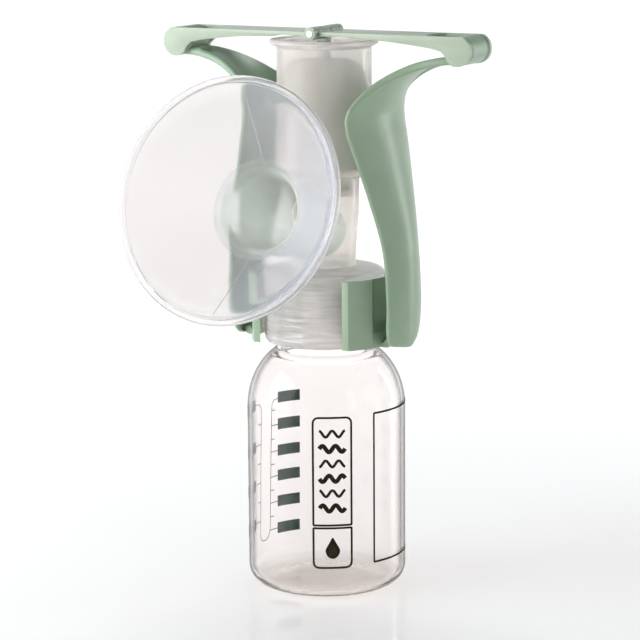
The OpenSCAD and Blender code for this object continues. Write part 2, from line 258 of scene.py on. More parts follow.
def object_place(tree, scale=(1, 1, 1)):
    """Object coordinates through a mapping with that scale."""
    where = tree.nodes.new("ShaderNodeTexCoord")
    mapping = tree.nodes.new("ShaderNodeMapping")
    mapping.inputs["Scale"].default_value = scale
    tree.links.new(where.outputs["Object"], mapping.inputs["Vector"])
    return mapping.outputs["Vector"]


def noise(tree, size_mm, detail, scale=(1, 1, 1)):
    """Noise whose features are about size_mm across."""
    node = tree.nodes.new("ShaderNodeTexNoise")
    node.inputs["Scale"].default_value = 1 / (size_mm * MM)
    node.inputs["Detail"].default_value = detail
    tree.links.new(object_place(tree, scale), node.inputs["Vector"])
    return node.outputs["Fac"]


def ramp(tree, value, stops):
    """value through a colour ramp of (place, colour) stops."""
    node = tree.nodes.new("ShaderNodeValToRGB")
    node.color_ramp.elements[0].position = stops[0][0]
    node.color_ramp.elements[1].position = stops[-1][0]
    for place, _ in stops[1:-1]:
        node.color_ramp.elements.new(place)
    for element, (_, colour) in zip(node.color_ramp.elements, stops):
        element.color = (*colour, 1)
    tree.links.new(value, node.inputs["Fac"])
    return node.outputs["Color"]


def grey(value):
    """A grey of that value, for a ramp."""
    return (value,) * 3


def spread(tree, value, low, high):
    """value between 0 and 1 mapped to a range."""
    node = tree.nodes.new("ShaderNodeMapRange")
    node.inputs["To Min"].default_value = low
    node.inputs["To Max"].default_value = high
    tree.links.new(value, node.inputs["Value"])
    return node.outputs["Result"]


def bump(tree, height, distance_mm):
    """A normal tilted by a height of up to distance_mm."""
    node = tree.nodes.new("ShaderNodeBump")
    node.inputs["Strength"].default_value = 1
    node.inputs["Distance"].default_value = distance_mm * MM
    tree.links.new(height, node.inputs["Height"])
    return node.outputs["Normal"]


def mixed(tree, first, second, share=None):
    """Two shaders, half and half unless share gives how much there is of the second."""
    node = tree.nodes.new("ShaderNodeMixShader")
    node.inputs["Fac"].default_value = 0.5
    if share is not None:
        tree.links.new(share, node.inputs["Fac"])
    tree.links.new(first, node.inputs[1])
    tree.links.new(second, node.inputs[2])
    return node.outputs[0]


def moulded(name, dark, light, roughness, grain_mm=0.35, mottling_mm=14, ior=1.46):
    """Opaque moulded plastic: a slow drift of tone, a fine satin grain and slightly uneven gloss."""
    material, tree, shader, _ = new_material(name)
    tone = ramp(tree, noise(tree, mottling_mm, 4), [(0.3, dark), (0.7, light)])
    tree.links.new(tone, shader.inputs["Base Color"])
    gloss = spread(tree, noise(tree, 5, 2), roughness - 0.05, roughness + 0.06)
    tree.links.new(gloss, shader.inputs["Roughness"])
    tree.links.new(bump(tree, noise(tree, grain_mm, 2), 0.012), shader.inputs["Normal"])
    shader.inputs["IOR"].default_value = ior
    return material


def milky(tree, haze, drift, flow):
    """Scatter that is half veil and half glow-through, with its tone drifting down to drift times haze."""
    veil = tree.nodes.new("ShaderNodeBsdfDiffuse")
    milk = tree.nodes.new("ShaderNodeBsdfTranslucent")
    dull = tuple(c * drift for c in haze)
    cloud = ramp(tree, noise(tree, 11, 3, (1, 1, flow)), [(0.3, dull), (0.7, haze)])
    tree.links.new(cloud, veil.inputs["Color"])
    tree.links.new(cloud, milk.inputs["Color"])
    return mixed(tree, veil.outputs[0], milk.outputs[0])


def clear(name, tint, haze, haze_share, roughness, ior=1.3, ripple_mm=9, ripple_depth=0.02,
          edge=0.7, edge_haze=0.7, edge_from=0.35, flow=1, drift=0.95):
    """See-through moulded plastic: glass with a soft ripple and a share of milky scatter.

    Seen edge-on, its tint darkens to edge times, partly as through more of the plastic and partly as painted
    shade that draws a dark outline along the silhouette, and the scatter's share rises to edge_haze, as through
    more of the plastic. flow squeezes the ripple along Z into streaks. Shadow and diffuse rays pass straight
    through.
    """
    material, tree, glass, out = new_material(name)
    weight = tree.nodes.new("ShaderNodeLayerWeight")
    weight.inputs["Blend"].default_value = 0.5
    facing = weight.outputs["Facing"]
    # Painted shade: towards the silhouette the tint darkens into a dark outline.
    dark = tuple(c * edge for c in tint)
    tree.links.new(ramp(tree, facing, [(EDGE_SHADE_FROM, tint), (EDGE_SHADE_TO, dark)]), glass.inputs["Base Color"])
    glass.inputs["Transmission Weight"].default_value = 1
    glass.inputs["IOR"].default_value = ior
    rough = spread(tree, noise(tree, 6, 3), roughness * 0.8, roughness * 1.25)
    tree.links.new(rough, glass.inputs["Roughness"])
    wave = bump(tree, noise(tree, ripple_mm, 2, (1, 1, flow)), ripple_depth)
    tree.links.new(wave, glass.inputs["Normal"])
    share = ramp(tree, facing, [(edge_from, grey(haze_share)), (HAZE_TO, grey(edge_haze))])
    seen = mixed(tree, glass.outputs[0], milky(tree, haze, drift, flow), share)
    passing = tree.nodes.new("ShaderNodeBsdfTransparent")
    passing.inputs["Color"].default_value = (*(c * (1 - haze_share * HAZE_SHADOW) for c in tint), 1)
    path = tree.nodes.new("ShaderNodeLightPath")
    for ray in ("Is Shadow Ray", "Is Diffuse Ray"):
        seen = mixed(tree, seen, passing.outputs[0], path.outputs[ray])
    tree.links.new(seen, out.inputs["Surface"])
    return material


# ---- materials ----

green = moulded("sage_plastic", (0.240, 0.336, 0.238), (0.272, 0.374, 0.269), 0.31, ior=1.36)
# The arms get a lighter copy of the handles' green: painted light, for the extra light their faces catch.
lit_arm_green = moulded("sage_plastic_arm_lit", (0.285, 0.358, 0.272), (0.320, 0.395, 0.305), 0.34, ior=1.52)
cup_green = moulded("piston_plastic", (0.37, 0.425, 0.375), (0.42, 0.475, 0.425), 0.34)
white = moulded("white_plastic", (0.80, 0.80, 0.79), (0.86, 0.86, 0.85), 0.28)
rubber = moulded("silicone", (0.60, 0.61, 0.60), (0.68, 0.68, 0.66), 0.46, grain_mm=0.6)
ink_dark = moulded("ink_olive", (0.014, 0.012, 0.003), (0.020, 0.017, 0.005), 0.7, grain_mm=0.2, ior=1.18)
ink_scale = moulded("ink_grey_green", (0.002, 0.028, 0.018), (0.018, 0.070, 0.052), 0.7, grain_mm=0.2,
                    mottling_mm=4, ior=1.18)
ink_line = moulded("ink_thin_line", (0.07, 0.06, 0.05), (0.10, 0.085, 0.07), 0.7, grain_mm=0.2, ior=1.18)

cup_clear = clear(
    "piston_clear", tint=(0.86, 0.90, 0.865), haze=(0.73, 0.84, 0.73), haze_share=0.80, roughness=0.2,
    ior=1.4, edge=0.8, edge_haze=0.9)
# The bottle's edge of 0.08 paints a strong dark outline, painted shade, along its silhouette.
bottle_clear = clear(
    "bottle_clear", tint=(0.975, 0.948, 0.938), haze=(0.20, 0.205, 0.19), haze_share=0.005, roughness=0.015,
    ior=1.25, edge=0.08, edge_haze=0.65, edge_from=0.66)
base_clear = clear(
    "bottle_base_clear", tint=(0.96, 0.945, 0.93), haze=(0.50, 0.47, 0.45), haze_share=0.04, roughness=0.03,
    edge=0.85, edge_haze=0.10)
skirt_clear = clear(
    "skirt_clear", tint=(0.975, 0.97, 0.965), haze=(0.87, 0.88, 0.875), haze_share=0.36, roughness=0.12,
    ripple_mm=16, ripple_depth=0.10, flow=12, drift=0.78)
neck_clear = clear(
    "neck_clear", tint=(0.98, 0.96, 0.95), haze=(0.97, 0.93, 0.90), haze_share=0.28, roughness=0.12,
    edge=0.75)
flange_clear = clear(
    "flange_clear", tint=(0.955, 0.895, 0.855), haze=(0.68, 0.74, 0.84), haze_share=0.20, roughness=0.09,
    edge=0.6, edge_haze=0.5)
tunnel_clear = clear(
    "tunnel_clear", tint=(0.965, 0.955, 0.935), haze=(0.66, 0.73, 0.71), haze_share=0.42, roughness=0.12,
    edge=0.9, edge_haze=0.8)
cylinder_clear = clear(
    "cylinder_clear", tint=(0.98, 0.955, 0.95), haze=(0.97, 0.925, 0.915), haze_share=0.38, roughness=0.06,
    ior=1.48, edge=0.75)


def finish_piece(obj, body, material, slot, *nodes):
    """Gives a piece its material, unless it has its own, and its body, and hides the nodes it stands for; slot
    is not used.
    """
    if material:
        obj.data.materials.clear()
        obj.data.materials.append(material)
    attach(obj, body)
    if nodes:
        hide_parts(*nodes)


def split_materials(obj, first, second, is_second):
    """Gives obj two materials: the second on the faces whose centre, in millimetres, is_second accepts."""
    obj.data.materials.append(first)
    obj.data.materials.append(second)
    for face in obj.data.polygons:
        face.material_index = 1 if is_second(face.center / MM) else 0


# ---- bottle ----

bottle_high = node_box("bottle")[1]
BOTTLE_R = bottle_high.x
MOUTH_Z = bottle_high.z
MOUTH_R = 17.3
WALL = 1.2
BASE_TOP = 3.2
# The shoulder and the heel are arcs: where their centres are in the outline, and their radii.
SHOULDER_AT, SHOULDER_R = (7.5, 63), (20, 24)
HEEL_AT, HEEL_R = (20.5, 7), 7
THREAD_LEAD = 4.5
NECK_THREAD_FOOT, NECK_THREAD_TOP = 92.0, 99.4
NECK_THREAD_DEPTH = 1.55
NECK_THREAD_HALF = 1.25
NECK_THREAD_FADE = 1.2


def neck_thread(radius, turn, height):
    """Just over one and a half turns of helical thread round the bottle's neck, fading at both ends."""
    if radius < MOUTH_R - 0.05:
        return radius
    for start in (-1, 0, 1):
        middle = NECK_THREAD_FOOT + THREAD_LEAD * (turn / (2 * pi) + start)
        if not NECK_THREAD_FOOT <= middle <= NECK_THREAD_TOP:
            continue
        from_foot = (middle - NECK_THREAD_FOOT) / NECK_THREAD_FADE + 0.05
        from_top = (NECK_THREAD_TOP - middle) / NECK_THREAD_FADE + 0.05
        off = abs(height - middle) / NECK_THREAD_HALF
        if off < 1:
            return radius + NECK_THREAD_DEPTH * min(1, from_foot, from_top) * (1 - off ** 3)
    return radius


def make_bottle():
    """The bottle's wall, shoulder, threaded neck and raised underside, as one closed outline."""
    wide, tall = SHOULDER_R
    shoulder = arc(*SHOULDER_AT, wide, tall, 0, 60.66, 40)
    neck_foot_inside = [
        (MOUTH_R - 1.7, 84.2), (MOUTH_R - 1.4, 83.0), (MOUTH_R - 0.5, 82.0), (18.3, 81.45)]
    shoulder_inside = arc(*SHOULDER_AT, wide - WALL, tall - WALL, 52.5, 0, 36)
    neck_outside = [(MOUTH_R, 84.6 + 0.3 * k) for k in range(0, 63)]
    outline = (
        [(0, 0.75), (12.0, 0.7), (16.5, 0.45), (18.2, 0.0)]
        + arc(*HEEL_AT, HEEL_R, HEEL_R, -90, 0, 16)
        + [(BOTTLE_R, 20), (BOTTLE_R, 40)]
        + shoulder
        + neck_outside
        + [(MOUTH_R, MOUTH_Z - 0.5), (MOUTH_R - 0.18, MOUTH_Z - 0.1), (MOUTH_R - 0.5, MOUTH_Z)]
        + [(MOUTH_R - 1.4, MOUTH_Z - 0.05), (MOUTH_R - 1.7, MOUTH_Z - 0.4)]
        + neck_foot_inside
        + shoulder_inside
        + [(BOTTLE_R - WALL, 40), (BOTTLE_R - WALL, 20)]
        + arc(*HEEL_AT, HEEL_R - WALL, HEEL_R - 1.6, 0, -90, 14)
        + [(18.2, 1.65), (16.5, 2.0), (12.0, 2.3), (0, 2.35)]
    )
    bottle = lathe("bottle_shell", outline, neck_thread, FINE_SEGMENTS)
    split_materials(bottle, bottle_clear, base_clear, lambda centre: centre.z < BASE_TOP)
    return bottle


finish_piece(make_bottle(), "bottle", None, "bottle_plastic", "bottle")


# ---- bottle print ----

MM_PER_DEGREE = BOTTLE_R * pi / 180
INK_FROM, INK_TO = 0.01, 0.05
PATH_STEP = 1.5
FRAME_LINE = 0.72
SCALE_LINE = 0.32
BLOCK_CELLS = 6
# The mark's tall and short frame, and the write-on frame: angles, heights, corner radii at the top and foot.
FRAMES = [
    (-71.0, -43.5, 27.0, 64.6, 2.2, 0.3),
    (-71.0, -43.5, 12.0, 26.0, 0.3, 2.2),
    (-25.3, 36.0, 12.6, 65.0, 0.3, 0.3),
]
MARK_ANGLE = -57.25
DROP_Z = 18.2
WAVE_FROM, WAVE_WIDTH = -66.5, 18.5
WAVE_HEIGHT = 1.1
WAVE_THICK, WAVE_THIN = 1.5, 0.95
WAVE_ROWS = (33.0, 38.2, 43.4, 48.6, 53.8, 59.0)
SCALE_TOP, SCALE_HEIGHT = 61, 48

# Both scales lean a little round the wall: each upright is its angle at the top and its drift by the foot.
ML_BLOCK_FAR, ML_BLOCK_NEAR, ML_LINE = (139.4, 1.0), (159.0, 1.6), (165.5, 3.5)
OZ_LINE, OZ_BLOCK_NEAR, OZ_BLOCK_FAR = (178.9, 4.4), (191.0, 2.0), (213.0, 2.0)
ML_SHORT_FROM, ML_SHORT_TO, OZ_SHORT_TO = (165.5, 3.4), (162.0, 2.6), (184.5, 4.0)
ML_HEIGHTS = (61.3, 51.5, 41.9, 32.7, 23.2, 13.3)
OZ_HEIGHTS = (61.3, 46.1, 32.1, 18.1)
ML_SHORT_HEIGHTS = (56.8, 46.4, 37.2, 27.7, 18.1)
OZ_SHORT_HEIGHTS = (53.4, 39.1, 25.1)


def on_wall(angle, height, lift):
    """A point that far off the bottle's straight wall; the angle is from +X."""
    r = BOTTLE_R + lift
    return (r * cos(radians(angle)), r * sin(radians(angle)), height)


def ink_patch(name, outlines):
    """Thin ink on the wall: each outline is a closed list of (angle, height)."""
    points, faces = [], []
    for outline in outlines:
        first, count = len(points), len(outline)
        points += [on_wall(a, z, INK_FROM) for a, z in outline]
        points += [on_wall(a, z, INK_TO) for a, z in outline]
        faces.append([first + k for k in range(count)][::-1])
        faces.append([first + count + k for k in range(count)])
        for k in range(count):
            following = (k + 1) % count
            faces.append([first + k, first + following, first + count + following, first + count + k])
    return new_object(name, points, faces)


def strip(path, width, closed=False):
    """Quads along a path of (angle, height), width in millimetres."""
    count = len(path)
    sides = []
    for i, (a, z) in enumerate(path):
        before = path[i - 1] if i or closed else path[i]
        after = path[(i + 1) % count] if i < count - 1 or closed else path[i]
        run = Vector(((after[0] - before[0]) * MM_PER_DEGREE, after[1] - before[1]))
        run.normalize()
        side = Vector((-run.y / MM_PER_DEGREE, run.x)) * width / 2
        sides.append(((a + side.x, z + side.y), (a - side.x, z - side.y)))
    last = count if closed else count - 1
    quads = []
    for i in range(last):
        after = sides[(i + 1) % count]
        quads.append([sides[i][0], after[0], after[1], sides[i][1]])
    return quads


def fine(path):
    """The path with points added, about every PATH_STEP degrees or twice as many millimetres."""
    out = [path[0]]
    for (a0, z0), (a1, z1) in zip(path, path[1:]):
        count = max(1, int(max(abs(a1 - a0), abs(z1 - z0) / 2) / PATH_STEP))
        for k in range(1, count + 1):
            out.append((a0 + (a1 - a0) * k / count, z0 + (z1 - z0) * k / count))
    return out


def print_frame(a0, a1, z0, z1, top, foot):
    """The quads of a closed frame with rounded corners."""
    scale = 1 / MM_PER_DEGREE
    wide = (a1 - a0) * MM_PER_DEGREE
    flat = rounded([(0, z0, foot), (wide, z0, foot), (wide, z1, top), (0, z1, top)], 6)
    path = fine([(a0 + x * scale, z) for x, z in flat] + [(a0 + flat[0][0] * scale, flat[0][1])])
    return strip(path[:-1], FRAME_LINE, True)


def print_frames():
    """All the printed frames as one piece."""
    quads = []
    for sizes in FRAMES:
        quads += print_frame(*sizes)
    return ink_patch("print_frames", quads)


def print_mark():
    """A plain drop in the short frame, and wavy lines in the tall one."""
    drop = []
    for k in range(40):
        t = 2 * pi * k / 40
        tip = max(0.0, cos(t))
        wide = 2.5 * sin(t) * (1 - 0.55 * tip ** 1.4)
        drop.append((MARK_ANGLE + wide / MM_PER_DEGREE, DROP_Z + (3.0 * cos(t) + 1.5 * tip ** 3)))
    shapes = [drop]
    for row, height in enumerate(WAVE_ROWS):
        path = []
        for k in range(31):
            wave = WAVE_HEIGHT * sin(2 * pi * k / 15 + row * pi / 2)
            path.append((WAVE_FROM + WAVE_WIDTH * k / 30, height + wave))
        shapes += strip(path, WAVE_THIN if row % 2 else WAVE_THICK)
    return ink_patch("print_mark", shapes)


def on_scale(upright, z):
    """The point of a leaning upright at height z."""
    angle, drift = upright
    return (angle + drift * ((SCALE_TOP - z) / SCALE_HEIGHT), z)


def block(from_upright, to_upright, middle, height):
    """A printed block between two uprights as a row of narrow quads, so that it follows the wall."""
    start = on_scale(from_upright, middle)[0]
    step = (on_scale(to_upright, middle)[0] - start) / BLOCK_CELLS
    low, high = middle - height / 2, middle + height / 2
    quads = []
    for k in range(BLOCK_CELLS):
        left, right = start + k * step, start + (k + 1) * step
        quads.append([(left, low), (right, low), (right, high), (left, high)])
    return quads


def print_blocks():
    """The blocks of both scales."""
    quads = []
    for z in ML_HEIGHTS:
        quads += block(ML_BLOCK_FAR, ML_BLOCK_NEAR, z, 4.0)
    for z in OZ_HEIGHTS:
        quads += block(OZ_BLOCK_NEAR, OZ_BLOCK_FAR, z, 4.1)
    return ink_patch("print_blocks", quads)


def print_scale_lines():
    """The thin line that runs down one scale and up the other, and the ticks on it."""
    line = [(159.0, 61.0), (163.2, 60.6), (165.2, 59.2), (165.7, 57.0)]
    line += [on_scale(ML_LINE, z) for z in (54, 50, 40, 30, 20, 15)]
    line += [(169.6, 12.6), (171.6, 11.0), (174.6, 10.2), (178.2, 10.2), (181.4, 11.0), (183.3, 12.6)]
    line += [on_scale(OZ_LINE, z) for z in (15, 20, 30, 40, 50, 54)]
    line += [(179.2, 57.0), (180.0, 59.2), (182.6, 60.6), (191.0, 61.0)]
    quads = strip(fine(line), SCALE_LINE)
    for z in ML_HEIGHTS[1:]:
        quads += strip([(on_scale(ML_LINE, z)[0], z - 0.1), on_scale(ML_BLOCK_NEAR, z)], SCALE_LINE)
    for z in ML_SHORT_HEIGHTS:
        quads += strip([on_scale(ML_SHORT_FROM, z), on_scale(ML_SHORT_TO, z)], SCALE_LINE)
    for z in OZ_HEIGHTS[1:]:
        quads += strip([on_scale(OZ_LINE, z), on_scale(OZ_BLOCK_NEAR, z)], SCALE_LINE)
    for z in OZ_SHORT_HEIGHTS:
        quads += strip([on_scale(OZ_LINE, z), on_scale(OZ_SHORT_TO, z)], SCALE_LINE)
    return ink_patch("print_scale_lines", quads)


finish_piece(print_frames(), "bottle", ink_dark, "bottle_plastic")
finish_piece(print_mark(), "bottle", ink_dark, "bottle_plastic")
finish_piece(print_blocks(), "bottle", ink_scale, "bottle_plastic")
finish_piece(print_scale_lines(), "bottle", ink_line, "bottle_plastic")


# ---- clear body: skirt, neck, tunnel and flange in one moulding ----

body_low, body_high = node_box("pump_body")
NECK_TOP = body_high.z
NECK_FROM = 112.4
SKIRT_FOOT = body_low.z
SKIRT_BORE_R = 19.4
SKIRT_THREAD_FOOT, SKIRT_THREAD_TOP = 87.4, 107
SKIRT_THREAD_DEPTH = 0.34
RIM = Vector((0, -66.1, 143.7))
TILT = 16.3
TUNNEL_FROM = 22.2
LUG_R = 23.85
BODY_SHARP = 32


def skirt_thread(radius, turn, height):
    """Shallow helical thread inside the skirt's bore."""
    if abs(radius - SKIRT_BORE_R) > 0.2 or not SKIRT_THREAD_FOOT < height < SKIRT_THREAD_TOP:
        return radius
    wave = cos(2 * pi * (height / THREAD_LEAD - turn / (2 * pi)))
    return radius - SKIRT_THREAD_DEPTH * max(0.0, wave) ** 0.7


def on_flange_axis(obj):
    """Moves a lathe from its own axis to the flange's: its Z runs from the rim into the tunnel."""
    turn = Matrix.Rotation(radians(-90 - TILT), 4, "X")
    obj.data.transform(Matrix.Translation(RIM * MM) @ turn)
    return obj


def make_skirt():
    """Skirt, top plate, neck and the tube for the valve, as one closed outline."""
    foot, top = SKIRT_FOOT, NECK_TOP
    bore = [(SKIRT_BORE_R, foot + 0.25 * k) for k in range(84, 0, -1)]
    outline = (
        bore
        + [(19.5, foot), (20.1, foot), (20.42, foot + 0.15), (20.9, foot + 1.0)]
        + [(21.2, foot + 1.9), (21.3, foot + 2.6)]
        + arc(18.1, 107.5, 3.2, 4.5, 0, 88, 14)
        + [(14.5, 112.1), (12.4, 112.25), (11.2, 112.5), (10.65, 113.0), (10.5, 114.0), (10.6, 117)]
        + [(11.0, 124), (11.6, 131), (11.9, top - 0.5), (11.7, top - 0.1), (11.4, top)]
        + [(10.1, top), (9.8, top - 0.4), (9.8, 131), (9.2, 120), (8.8, 112.6), (8.0, 111)]
        + [(5.7, 110.3), (5.5, 109.8), (5.5, 98.4), (5.7, 98), (7.3, 98)]
        + [(7.5, 98.3), (7.5, 109.6), (8.0, 110.2)]
        + arc(17.2, 107.5, 2.2, 2.7, 90, 0, 8)[:-1]
    )
    return lathe("body_moulding", outline, skirt_thread)


def make_flange():
    """Rim, cone and tunnel about the flange's own axis, as (radius, depth)."""
    rim = rounded([
        (38.1, 0.75, 0.5), (38.6, 0.25, 0.4), (40.3, 0.0, 0.5), (40.8, 0.6, 0.4), (40.8, 1.5, 0.4),
        (40.2, 2.0, 0.4), (39.2, 1.95, 0.5)], 4)
    outline = (
        rim
        + [(34.0, 6.6), (28.0, 12.1), (22.0, 17.6), (17.4, 21.9)]
        + [(16.2, 23.3), (15.2, 24.6), (14.4, 26.2), (13.9, 28.2), (12.9, 40), (10.6, 64)]
        + [(9.0, 64), (11.25, 40), (12.3, 28.0), (12.5, 26.2), (12.75, 25.0), (13.2, 24.0), (13.9, 23.0)]
        + [(14.7, 22.0), (16.2, 20.4), (22.0, 15.2), (28.0, 9.75), (34.0, 4.3), (37.4, 1.3)]
    )
    flange = on_flange_axis(lathe("flange", outline, None, FINE_SEGMENTS))
    along = Vector((0, cos(radians(TILT)), -sin(radians(TILT))))
    throat = RIM + along * TUNNEL_FROM
    split_materials(flange, flange_clear, tunnel_clear, lambda centre: (centre - throat).dot(along) > 0)
    return flange


def make_body():
    """The whole clear moulding: the tunnel opens into the neck, and a lug on each side holds a clasp."""
    body = make_skirt()
    split_materials(body, skirt_clear, neck_clear, lambda centre: centre.z > NECK_FROM)
    hole_outline = [(0, 30), (8.95, 30), (8.95, 66), (0, 66)]
    hole = on_flange_axis(lathe("hole", hole_outline, None, CUTTER_SEGMENTS))
    hole.data.materials.append(neck_clear)
    combine(body, hole, "DIFFERENCE")
    flange = make_flange()
    core_outline = [(0, 110), (9.5, 112), (9.9, 120), (10.4, 131), (10.6, 146), (0, 146)]
    core = lathe("core", core_outline, None, CUTTER_SEGMENTS)
    core.data.materials.append(neck_clear)
    combine(flange, core, "DIFFERENCE")
    combine(body, flange, "UNION")
    for side in (-1, 1):
        outer = [(side * x, y) for x, y in arc(0, 0, LUG_R, LUG_R, -14.5, 14.5, 12)]
        lug = extrude("lug", [(side * 20.6, -6)] + outer + [(side * 20.6, 6)], 90, 107, "z")
        lug.data.materials.append(skirt_clear)
        combine(body, lug, "UNION")
    smooth(body, BODY_SHARP)
    return body


def mould_lines():
    """The fine parting line along the cone's bottom and top, as a low rib on its inner face."""
    inner_face = [(37.0, 1.62), (34.0, 4.3), (28.0, 9.75), (22.0, 15.2), (16.4, 20.25), (15.2, 21.45)]
    for count, side in enumerate((-1, 1)):
        rings = []
        for radius, depth in inner_face:
            y = side * radius
            rings.append([
                (-0.14, y, depth + 0.12), (0.14, y, depth + 0.12),
                (0.05, y, depth - 0.14), (-0.05, y, depth - 0.14)])
        yield on_flange_axis(loft(f"mould_line_{count + 1}", rings))


finish_piece(make_body(), "pump_body", None, "clear_plastic", "pump_body", "breast_flange")
for line in mould_lines():
    finish_piece(line, "pump_body", flange_clear, "clear_plastic")


# ---- cylinder and piston ----

CYLINDER_R = 16.2


def make_cylinder():
    """The open cylinder, with a lip at its top and a grooved spigot that goes into the neck."""
    low, high = node_box("cylinder")
    top, foot, spigot = high.z, NECK_TOP, low.z
    outline = rounded([
        (6.5, spigot, 0.3), (9.7, spigot, 0.3), (9.7, spigot + 2, 0.1), (8.5, spigot + 2, 0.1),
        (8.5, spigot + 3.4, 0.1), (9.7, spigot + 3.4, 0.1), (9.7, foot, 0.2), (CYLINDER_R, foot, 1.3),
        (CYLINDER_R, top - 2.6, 0.8), (18.4, top - 1.4, 0.5), (18.7, top - 0.7, 0.4), (18.3, top, 0.4),
        (14.4, top, 0.5), (14.4, foot + 2, 0.8), (6.5, foot + 2, 0.4)])
    return lathe("cylinder_shell", outline)


def make_piston():
    """The piston's cup, open underneath, with a shallow groove round its foot."""
    low, high = node_box("piston_cup")
    top, foot = high.z, low.z
    step = foot + 2.6
    outline = (
        [(11.7, foot), (13.0, foot), (13.0, step), (13.9, step), (14.1, step + 0.25)]
        + [(14.1, step + 1.4), (13.95, step + 1.6), (14.1, step + 1.8)]
        + arc(8.1, top - 6, 6, 6, 0, 90, 20)
        + [(2.4, top), (2.4, top - 1.6)]
        + arc(8.1, top - 6, 4.4, 4.4, 90, 0, 14)
        + [(12.5, step), (11.7, step - 0.8)]
    )
    return lathe("piston_shell", outline)


finish_piece(make_cylinder(), "pump_body", cylinder_clear, "clear_plastic", "cylinder")
finish_piece(make_piston(), "piston", cup_clear, "piston_plastic", "piston_cup")


# ---- handles ----

OUTER_X, OUTER_Z = 54.0, 188.6
BASE_X, BASE_Z = 27.4, 88.6
OUTER_BORE_R, BASE_BORE_R = 1.62, 0.76
KNUCKLE_R = 1.4
HANDLE_SHARP = 34

# The blade's middle line from the barrel down: x, z, half the width, and how far the palm side bulges.
STATIONS = [
    (53, 183.8, 6.3, 0), (49.5, 183.7, 6.5, 0), (45, 183.1, 7.4, 0.2), (38, 181.2, 8.8, 0.7),
    (30.4, 177.5, 12, 1.6), (24.4, 173, 15.8, 2.8), (20.9, 167.4, 20, 4.1), (20.8, 162, 20.7, 4.5),
    (22.5, 155.4, 19.5, 4.5), (26.8, 138, 15.6, 4), (30.2, 121, 12.4, 3.5), (31.4, 104, 12, 3),
    (31.2, 95, 11.8, 3), (31, 91.4, 11.1, 3), (30.8, 89.2, 9.9, 2.8), (30.7, 87.8, 8.0, 2.5),
    (30.6, 87.2, 5.6, 2.3),
]
STEPS = 7
LAST_STEP = (len(STATIONS) - 1) * STEPS
ACROSS = 30
BLADE_THICK = 2.8
LEAST_THICK = 1.5
EDGE_THICK, EDGE_THICKENING = 1.9, 0.8
EDGE_THICKENS = (166, 181)
LIP = 0.9
LIP_RISES = (171, 180)
LIP_SLOPE = (1.25, 2.6)

BARREL_R = 4.9
BARREL_TURNS = 180
# From the ribs' end outwards: the distance along Y, and how far the surface is sunk.
BARREL_HALF = [
    (5.0, 0), (5.35, 0), (5.45, 0.28), (5.65, 0.28), (5.75, 0), (6.3, 0), (6.5, 0.12), (6.6, 0.35)]
RIBS_FROM, RIBS_TO = 108, 172
RIB_PITCH = 8
RIB_DEPTH = 0.32


def station(i):
    """The handle's station at step i, on a smooth curve through the listed ones."""
    last = len(STATIONS) - 1
    k = min(i // STEPS, last - 1)
    t = i / STEPS - k
    p = [Vector(STATIONS[max(0, min(last, k + j))]) for j in (-1, 0, 1, 2)]
    return 0.5 * (
        2 * p[1] + (p[2] - p[0]) * t + (2 * p[0] - 5 * p[1] + 4 * p[2] - p[3]) * t * t
        + (3 * p[1] - p[0] - 3 * p[2] + p[3]) * t ** 3
    )


def ease(x, low, high):
    """0 below low, 1 above high, smooth between."""
    t = max(0.0, min(1.0, (x - low) / (high - low)))
    return t * t * (3 - 2 * t)


def handle_ring(i):
    """One section of the handle: palm side, rounded edge, inner side, rounded edge.

    Its edge gets thicker near the top, where a low lip also runs along the palm side's edges.
    """
    here, before, after = station(i), station(max(0, i - 1)), station(min(LAST_STEP, i + 1))
    run = Vector((after[0] - before[0], after[1] - before[1])).normalized()
    out = Vector((-run.y, run.x))
    x, z, half, bulge = here
    edge_t = EDGE_THICK + EDGE_THICKENING * ease(z, *EDGE_THICKENS)
    lip = LIP * ease(z, *LIP_RISES)

    def place(y, height):
        return (x + out.x * height, y, z + out.y * height)

    palm, inner = [], []
    for j in range(ACROSS + 1):
        # u runs from -1 to 1 across the blade, and the points crowd towards its edges.
        u = 2 * j / ACROSS - 1
        u = u * (1.45 - 0.45 * abs(u)) if abs(u) < 1 else u
        y = u * (half - edge_t / 2)
        crown = bulge * (1 - u * u)
        dip = lip * ease((half - abs(y)), *LIP_SLOPE)
        palm.append(place(y, crown - dip))
        thick = BLADE_THICK + (edge_t - BLADE_THICK) * u * u
        inner.append(place(y, crown - max(thick, dip + LEAST_THICK)))
    near = [place(half - edge_t / 2 + edge_t / 2 * sin(a), -edge_t / 2 + edge_t / 2 * cos(a))
            for a in (pi / 6, pi / 3, pi / 2, 2 * pi / 3, 5 * pi / 6)]
    far = [(px, -py, pz) for px, py, pz in reversed(near)]
    return palm + near + inner[::-1] + far


def make_barrel():
    """The handle's barrel on the outer pin, with a groove near each end and fine ribs on top."""
    rings = []
    for y, inset in [(-y, inset) for y, inset in reversed(BARREL_HALF)] + BARREL_HALF:
        ring = []
        for k in range(BARREL_TURNS):
            angle = 360 * k / BARREL_TURNS
            ribbed = RIBS_FROM <= angle <= RIBS_TO and abs(y) <= BARREL_HALF[0][0]
            rib = RIB_DEPTH * (0.5 + 0.5 * cos(2 * pi * angle / RIB_PITCH)) if ribbed else 0
            r = BARREL_R - inset - rib
            ring.append((OUTER_X + r * cos(radians(angle)), y, OUTER_Z + r * sin(radians(angle))))
        rings.append(ring)
    return loft("barrel", rings)


